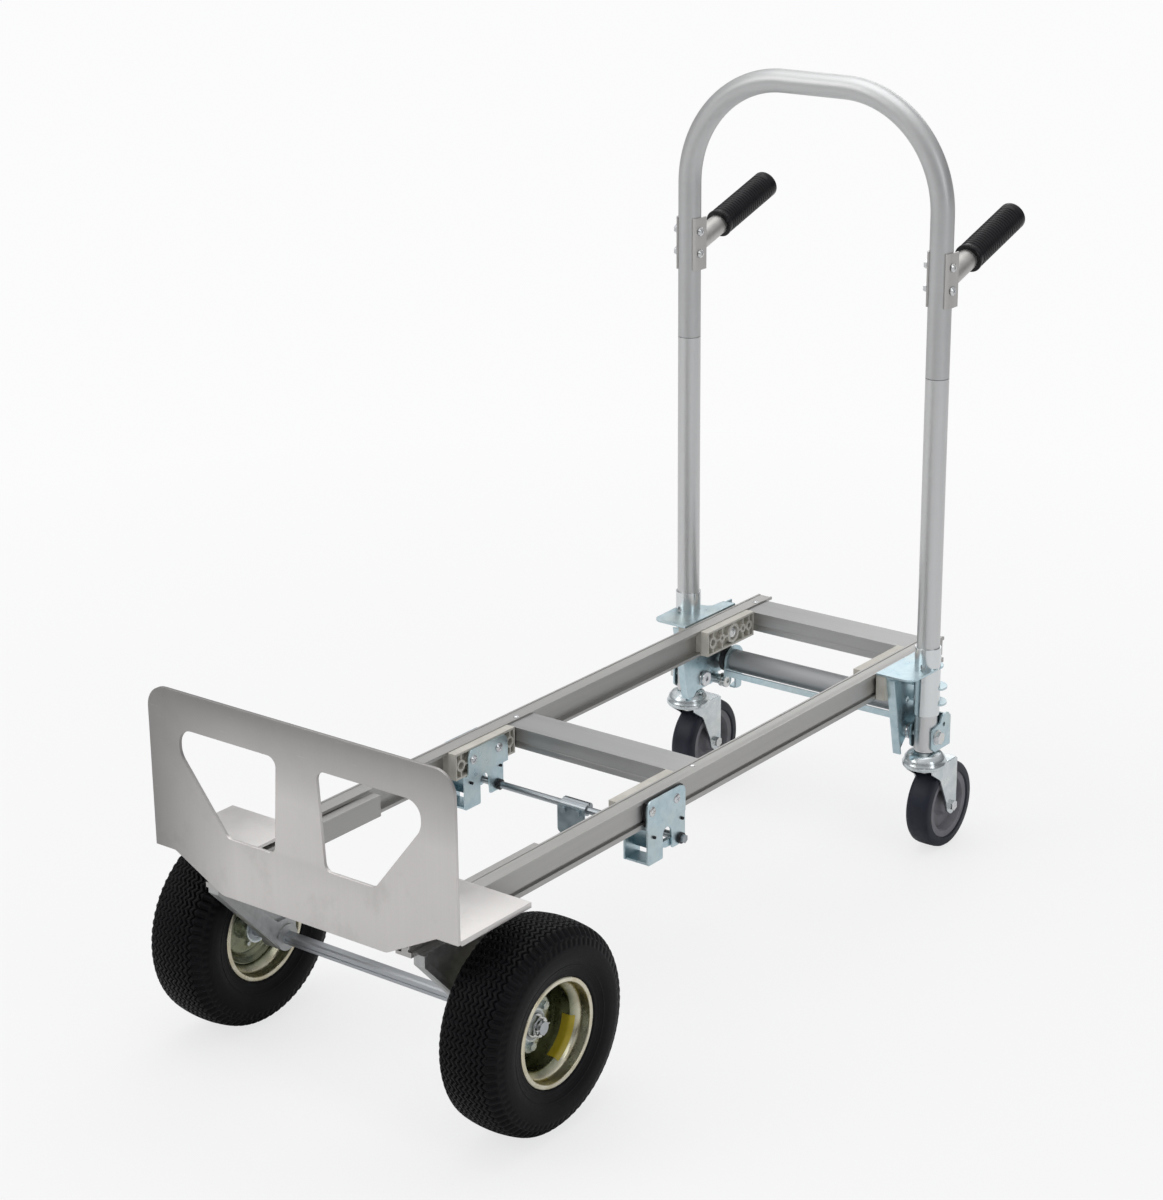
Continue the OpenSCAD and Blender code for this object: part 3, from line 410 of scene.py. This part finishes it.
def ring_mesh(name, x, radius, center, material, sharp):
    """Closed surface about an X axis through center (metres).

    x and radius are arrays in mm of shape (profile, around).
    """
    rows, count = x.shape
    angle = (np.arange(count) * 2 * math.pi / count)[None, :]
    radius = radius / MM
    verts = np.stack([center[0] + x / MM,
                      center[1] + radius * np.cos(angle),
                      center[2] + radius * np.sin(angle)], -1).reshape(-1, 3)
    j = np.arange(rows)[:, None]
    i = np.arange(count)[None, :]
    next_j, next_i = (j + 1) % rows, (i + 1) % count
    corners = [j * count + i, j * count + next_i, next_j * count + next_i, next_j * count + i]
    return new_mesh(name, verts, np.stack(corners, -1).reshape(-1, 4), material, sharp)


def wheel_sizes(piece):
    """Centre x in metres, then half width and radius in mm, of a wheel piece."""
    low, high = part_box(piece)
    return (low.x + high.x) / 2, (high.x - low.x) / 2 * MM, (high.z - low.z) / 2 * MM


# ---------------------------------------------------------------- main tyres (mm)
CROWN = 42.0             # arc from the middle of the tread that is sampled every 1 mm
TREAD_PITCHES = 72       # repeats of the tread pattern round the tyre
PITCH_STEPS = 8          # vertices in one repeat
GROOVE_SPACING = 7.2
GROOVE_SWING = 2.5       # sideways reach of the zig-zag
# arc place, half width, depth; a negative depth stands proud
SIDEWALL_LINES = ((60.5, 0.9, -0.55), (79.5, 1.0, -0.6), (84.0, 0.7, 0.5))
PIP_COUNT = 26
PIP_SIDES = 8
PIP_RINGS = ((-0.5, 0.75), (0.4, 0.45))  # height along X, radius of the pip


def tread_depth(arc):
    """Depth cut at each (profile, around) point; arc is measured from the crown."""
    phase = (np.arange(TREAD_PITCHES * PITCH_STEPS) / PITCH_STEPS) % 1.0
    zigzag = np.abs(phase * 2 - 1) * 2 - 1
    arc = arc[:, None]
    reach = np.abs(arc)
    depth = np.zeros((len(arc), len(phase)))
    for k in range(-4, 5):
        path = k * GROOVE_SPACING + GROOVE_SWING * zigzag
        off = np.abs(arc - path[None, :])
        depth = np.maximum(depth, 2.1 * np.clip((1.45 - off) / 0.65, 0, 1))
    # slots between the shoulder blocks
    fade = np.clip((reach - 32.5) / 1.0, 0, 1) * np.clip((46.5 - reach) / 3.0, 0, 1)
    slot = np.clip((0.30 - np.abs(((phase + 0.25) % 1.0) - 0.5)) / 0.12, 0, 1)[None, :]
    shoulder = (reach > 32.5) & (reach < 46)
    depth = np.maximum(depth, np.where(shoulder, 2.3 * fade * slot, 0))
    # shallow slots that leave small ribs further down the shoulder
    fade = np.clip((56 - reach) / 2, 0, 1)
    slot = np.clip((0.28 - np.abs(phase - 0.5)) / 0.1, 0, 1)[None, :]
    ribs = (reach >= 47) & (reach < 56)
    depth = np.maximum(depth, np.where(ribs, 0.7 * slot * fade, 0))
    # moulding lines round the sidewall
    for place, width, line_depth in SIDEWALL_LINES:
        depth = depth + line_depth * np.clip(1 - np.abs(reach - place) / width, 0, 1)
    return depth


def tyre(name, side):
    center_x, half, radius = wheel_sizes("tyre_" + name)
    # x, radius: outside from the crown to the bead, then inside back to the crown
    outside = spline([
        (0, radius), (0.22 * half, radius - 0.3), (0.5 * half, radius - 1.8),
        (0.70 * half, radius - 4.0), (0.82 * half, radius - 8.5), (0.915 * half, radius - 14),
        (0.985 * half, 104), (half, 96), (0.985 * half, 88), (0.925 * half, 79),
        (0.875 * half, 72), (0.86 * half, 68), (0.80 * half, 65.6)], 12)
    inside_x, inside_r = np.array([
        (0.70 * half, 62.7), (0.61 * half, 62.7), (0.66 * half, 72), (0.78 * half, 86),
        (0.80 * half, 97), (0.74 * half, 107), (0.6 * half, 113), (0.3 * half, 116),
        (0, 117)]).T
    length = np.concatenate([[0], np.cumsum(np.hypot(*np.diff(outside, axis=0).T))])
    arc = np.concatenate([np.arange(0, CROWN, 1.0), np.linspace(CROWN, length[-1], 56)])
    out_x = np.interp(arc, length, outside[:, 0])
    out_r = np.interp(arc, length, outside[:, 1])
    x = np.concatenate([-out_x[::-1], out_x[1:], inside_x, -inside_x[:-1][::-1]])
    r = np.concatenate([out_r[::-1], out_r[1:], inside_r, inside_r[:-1][::-1]])
    # the inside gets an arc far beyond every feature, so it stays plain
    plain = np.full(2 * len(inside_x) - 1, 999.0)
    depth = tread_depth(np.concatenate([-arc[::-1], arc[1:], plain]))
    # sink the pattern along the profile normal, within the tyre's own size
    tangent = np.stack([np.gradient(x), np.gradient(r)], -1)
    tangent /= np.maximum(np.linalg.norm(tangent, axis=1), 1e-9)[:, None]
    normal_x = np.abs(tangent[:, 1]) * np.sign(x)
    normal_r = np.abs(tangent[:, 0])
    ring_x = np.clip(x[:, None] - normal_x[:, None] * depth, -half, half)
    ring_r = np.minimum(r[:, None] - normal_r[:, None] * depth, radius)
    obj = ring_mesh("tyre_tread_" + name, ring_x * side, ring_r,
                    (center_x, AXLE_Y, radius / MM), RUBBER, sharp=38)
    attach(obj, "wheel_" + name)
    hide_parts("tyre_" + name)
    tyre_pips(name, center_x, half, radius)


def tyre_pips(name, center_x, half, radius):
    """Moulding pips on both sidewalls, staggered between two circles."""
    verts, faces = [], []
    for end in (-1, 1):
        for k in range(PIP_COUNT):
            angle = k * 2 * math.pi / PIP_COUNT + 0.11
            circle = 99.0 if k % 2 else 91.0
            middle = np.array([center_x * MM + end * (half - 0.55),
                               circle * math.cos(angle), circle * math.sin(angle)])
            base = len(verts)
            for rise, size in PIP_RINGS:
                for q in range(PIP_SIDES):
                    turn = q * 2 * math.pi / PIP_SIDES
                    verts.append(middle + np.array([rise * end, size * math.cos(turn),
                                                    size * math.sin(turn)]))
            foot = [base + q for q in range(PIP_SIDES)]
            top = [q + PIP_SIDES for q in foot]
            faces += [foot, top]
            for q in range(PIP_SIDES):
                after = (q + 1) % PIP_SIDES
                faces.append((foot[q], foot[after], top[after], top[q]))
    verts = [(x / MM, AXLE_Y + y / MM, (radius + z) / MM) for x, y, z in verts]
    obj = new_mesh("tyre_pips_" + name, verts, faces, RUBBER)
    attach(obj, "wheel_" + name)


# ---------------------------------------------------------------- rims (mm)
# x (outboard positive), radius: closed outline of the disc
DISC = [(-14, 50.6), (-13.2, 50.2), (-11, 47.5), (-9.0, 44.2), (-6.0, 41.0), (-4.0, 38.2),
        (-3.5, 34), (-3.5, 26), (-3.5, 20.2), (-6, 20.2), (-6.0, 26), (-6, 35), (-7.2, 39),
        (-10.4, 42.4), (-12.4, 46), (-14.6, 49.4)]
# x (outboard positive), radius: line of the label along the barrel's inner face
LABEL_LINE = [(5.5, 50.38), (8, 50.38), (11.5, 50.38), (15.0, 50.62), (17.2, 51.55),
              (19.4, 53.5), (20.6, 54.9)]
LABEL_START, LABEL_END = -1.16, -0.10  # radians round the axle
LABEL_STEPS = 32


def mirrored(points):
    return [(-x, r) for x, r in points]


def turned(name, outline, steps, center_x, side):
    """Rim part turned from a closed outline."""
    profile = spline(outline + [outline[0]], steps)[:-1]
    x = np.repeat(profile[:, :1], 144, 1)
    radius = np.repeat(profile[:, 1:], 144, 1)
    return ring_mesh(name, x * side, radius, (center_x, AXLE_Y, AXLE_Z), GOLD, sharp=40)


def rim(name, side):
    center_x, half, radius = wheel_sizes("rim_" + name)
    # x, radius: half outlines of the barrel from the lip to the well
    outer = [(half - 0.2, 60.6), (half, 62.4), (half - 0.1, 64.6), (half - 1.1, radius - 0.1),
             (half - 2.6, radius - 0.3), (half - 3.5, 64.0), (half - 4.2, 62.6), (27, 62.2),
             (22, 61), (18.5, 57), (15, 53.4), (10, 53)]
    inner = [(half - 1.6, 59.9), (half - 4.5, 60.0), (27.5, 59.7), (23.5, 58.4),
             (20.2, 54.6), (16.4, 51.0), (11, 50.5)]
    outline = mirrored(outer) + outer[::-1] + inner + mirrored(inner)[::-1]
    barrel = turned("rim_barrel_" + name, outline, 4, center_x, side)
    disc = turned("rim_disc_" + name, DISC, 3, center_x, side)
    for obj in (barrel, disc):
        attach(obj, "wheel_" + name)
    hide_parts("rim_" + name)
    rim_label(name, side, center_x)


def rim_label(name, side, center_x):
    """Plain label band inside the barrel."""
    line = spline(LABEL_LINE, 3)
    loop = [(x, r) for x, r in line] + [(x - 0.12, r - 0.30) for x, r in line[::-1]]
    count = len(loop)
    verts, faces = [], []
    for i in range(LABEL_STEPS + 1):
        angle = LABEL_START + (LABEL_END - LABEL_START) * i / LABEL_STEPS
        for x, r in loop:
            verts.append((center_x + side * x / MM, AXLE_Y + r / MM * math.cos(angle),
                          AXLE_Z + r / MM * math.sin(angle)))
    for i in range(LABEL_STEPS):
        for q in range(count):
            a, b = i * count + q, i * count + (q + 1) % count
            faces.append((a, b, b + count, a + count))
    faces += [range(count), range(LABEL_STEPS * count, (LABEL_STEPS + 1) * count)]
    obj = new_mesh("rim_label_" + name, verts, faces, LABEL, sharp=40)
    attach(obj, "wheel_" + name)


# ---------------------------------------------------------------- split pins (m)
PIN_X = 0.2404
PIN_WIRE_RADIUS = 0.0009
# outboard, y, z from the axle line
PIN_PATH = ((0, 0.0130, 0), (0.0004, 0.0145, 0.0008), (0, 0.0118, 0.0002), (0, 0, 0),
            (0, -0.0105, 0), (0.0006, -0.0128, 0.0012), (0.0030, -0.0132, 0.0016),
            (0.0036, -0.0088, 0.0012))


def split_pin(name, side):
    """Bent wire through the end of the axle."""
    name = "split_pin_" + name
    center = Vector((side * PIN_X, AXLE_Y, AXLE_Z))
    curve = bpy.data.curves.new(name, "CURVE")
    curve.dimensions = "3D"
    curve.bevel_depth = PIN_WIRE_RADIUS
    curve.bevel_resolution = 3
    curve.use_fill_caps = True
    path = curve.splines.new("NURBS")
    path.points.add(len(PIN_PATH) - 1)
    for point, (x, y, z) in zip(path.points, PIN_PATH):
        point.co = (*(center + Vector((side * x, y, z))), 1)
    path.order_u = 3
    path.use_endpoint_u = True
    path.resolution_u = 6
    curve.materials.append(HARDWARE)
    # turned into a mesh so that the piece is plain geometry
    source = add_object(name, curve)
    depsgraph = bpy.context.evaluated_depsgraph_get()
    mesh = bpy.data.meshes.new_from_object(source.evaluated_get(depsgraph))
    bpy.data.objects.remove(source)
    obj = add_object(name, mesh)
    mesh.polygons.foreach_set("use_smooth", [True] * len(mesh.polygons))
    # the conversion may not carry the material over
    if not mesh.materials:
        mesh.materials.append(HARDWARE)
    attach(obj, "frame")


# ---------------------------------------------------------------- stage
def floor():
    """Pale disc that fades into the backdrop with distance."""
    mesh = bpy.data.meshes.new("floor")
    bm = bmesh.new()
    bmesh.ops.create_circle(bm, cap_ends=True, radius=80, segments=96)
    bm.to_mesh(mesh)
    bm.free()
    obj = add_object("floor", mesh)
    obj.location = (0, 0, -0.0004)
    made, s = new_material("floor_pale", (0.86, 0.86, 0.865), metallic=0, roughness=0.9,
                           Specular_IOR_Level=0.05)
    clouds = s.remap(s.noise(scale=0.6, detail=2))
    s.feed(s.bsdf.inputs["Base Color"],
           s.mix(clouds, (0.80, 0.80, 0.803), (0.82, 0.82, 0.822)))
    coord = s.node("ShaderNodeTexCoord")
    distance = s.node("ShaderNodeVectorMath", {0: coord.outputs["Object"]}, operation="LENGTH")
    far = s.remap(distance.outputs["Value"], span=(0.8, 2.4), to=(0.76, 1.0))
    path = s.node("ShaderNodeLightPath")
    glow = s.node("ShaderNodeEmission", {"Color": BACKDROP})
    fade = s.math("MULTIPLY", far, path.outputs["Is Camera Ray"])
    blend = s.node("ShaderNodeMixShader",
                   {0: fade, 1: s.bsdf.outputs[0], 2: glow.outputs[0]})
    output = s.tree.nodes["Material Output"]
    s.feed(output.inputs["Surface"], blend.outputs[0])
    mesh.materials.append(made)


def studio_world():
    """Light graded by height and along X; the camera sees a plain backdrop."""
    world = bpy.data.worlds.new("studio")
    bpy.context.scene.world = world
    world.use_nodes = True
    world.node_tree.nodes.clear()
    s = Shader(world.node_tree)
    output = s.node("ShaderNodeOutputWorld")
    at = s.axes("Generated")
    ramp = s.node("ShaderNodeValToRGB", {0: s.remap(at["Z"], span=(-0.15, 1.0))})
    stops = ramp.color_ramp.elements
    stops[0].color = (0.34, 0.34, 0.35, 1)
    stops[1].color = (1.05, 1.05, 1.06, 1)
    for position, color in ((0.30, (0.42, 0.42, 0.43, 1)), (0.62, (0.95, 0.95, 0.96, 1))):
        stops.new(position).color = color
    dimming = s.remap(at["X"], span=(-0.8, 1.0), to=(1.12, 0.62))
    color = s.mix(1.0, ramp.outputs[0], dimming, mode="MULTIPLY")
    light = s.node("ShaderNodeBackground", {"Color": color, "Strength": 0.80})
    plain = s.node("ShaderNodeBackground", {"Color": BACKDROP, "Strength": 1.0})
    path = s.node("ShaderNodeLightPath")
    blend = s.node("ShaderNodeMixShader", {
        0: path.outputs["Is Camera Ray"], 1: light.outputs[0], 2: plain.outputs[0]})
    s.feed(output.inputs["Surface"], blend.outputs[0])


def area(name, location, target, size, power, color=(1, 1, 1)):
    light = bpy.data.lights.new(name, "AREA")
    light.shape = "RECTANGLE"
    light.size, light.size_y = size
    light.energy = power
    light.color = color
    obj = add_object(name, light)
    obj.location = location
    aim = Vector(target) - Vector(location)
    obj.rotation_euler = aim.to_track_quat("-Z", "Y").to_euler()


def camera():
    data = bpy.data.cameras.new("camera")
    obj = add_object("camera", data)
    right = Vector((0.8000587133749072, 0.5998890359891866, -0.006260962613888226)).normalized()
    ahead = Vector((-0.5693626882817794, 0.7559753166391835, -0.3229976003391225)).normalized()
    up = right.cross(ahead).normalized()
    place = (1.9871222, AXLE_Y - 2.1931586, 1.6148342)
    rows = [(right[i], up[i], -ahead[i], place[i]) for i in range(3)]
    obj.matrix_world = Matrix((*rows, (0, 0, 0, 1)))
    data.sensor_fit = "HORIZONTAL"
    data.sensor_width = 36
    data.lens = 85.80435
    data.shift_x = -0.0210160
    data.shift_y = -0.0151139
    data.clip_end = 200
    bpy.context.scene.camera = obj


dress_pieces()
for side_name, direction in SIDES:
    tyre(side_name, direction)
    rim(side_name, direction)
for side_name, direction in SIDES:
    split_pin(side_name, direction)
floor()
studio_world()
area("top_soft", location=(-0.4, 0.2, 4.2), target=(0, 0.1, 0.3), size=(3.6, 3.6), power=48)
area("key_left", location=(-2.6, -3.4, 3.0), target=(0, 0, 0.5), size=(2.4, 2.6), power=40,
     color=(1.0, 0.99, 0.98))
area("fill_right", location=(4.2, -0.8, 2.2), target=(0, 0.2, 0.4), size=(1.2, 2.6), power=18,
     color=(0.97, 0.98, 1.0))
area("rim_back", location=(-1.2, 4.4, 2.8), target=(0, 0.2, 0.4), size=(3.0, 1.6), power=24)
camera()
bpy.context.scene.view_settings.view_transform = "Standard"
bpy.context.scene.view_settings.exposure = 0.0
